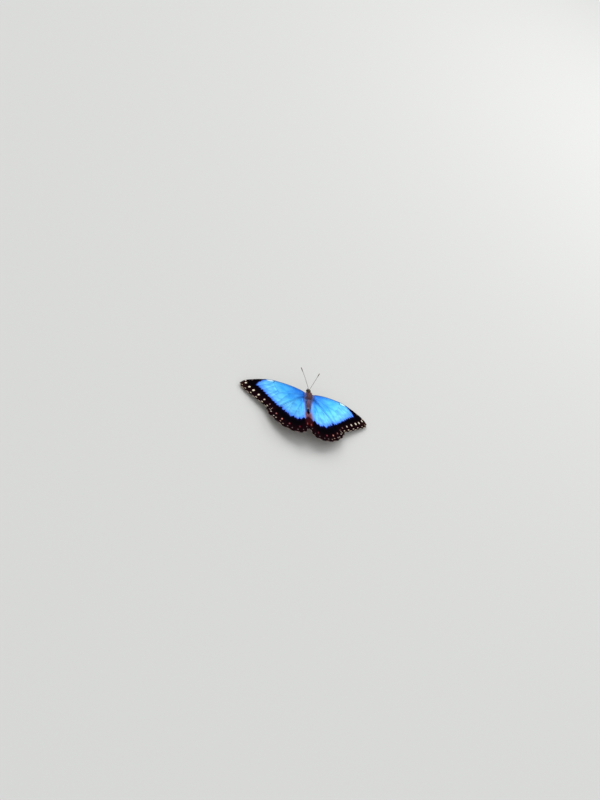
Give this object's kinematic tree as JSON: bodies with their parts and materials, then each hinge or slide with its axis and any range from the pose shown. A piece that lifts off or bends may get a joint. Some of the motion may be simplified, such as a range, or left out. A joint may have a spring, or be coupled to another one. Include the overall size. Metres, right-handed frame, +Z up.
{
  "type": "blue morpho butterfly",
  "caption": "Life-size still model of an adult blue morpho butterfly basking on its feet, with its wings spread and slightly lowered.",
  "frame": {"origin": "on the floor, under the middle of the animal's bounding box", "axes": "+Z up, head towards -Y, the animal's left towards +X, so the midline is the plane X = 0"},
  "size_m": [0.1292, 0.0758, 0.0153],
  "materials": {
    "fur": "short brown and mauve hair over a dark body",
    "horn": "satin dark brown chitin",
    "eye": "glossy dark compound eye",
    "wing": "iridescent blue scales with black margins above, banded brown below"
  },
  "bodies": {
    "root": {"head": "fur", "prothorax": "fur", "thorax": "fur", "abdomen": "fur", "proboscis": "horn", "eye_left": "eye", "eye_right": "eye", "palp_left": "fur", "palp_right": "fur", "antenna_left": "horn", "antenna_right": "horn", "foreleg_left": "horn", "foreleg_right": "horn", "midleg_left": "horn", "midleg_right": "horn", "hindleg_left": "horn", "hindleg_right": "horn", "forewing_left": "wing", "forewing_right": "wing", "hindwing_left": "wing", "hindwing_right": "wing"}
  },
  "joints": []
}
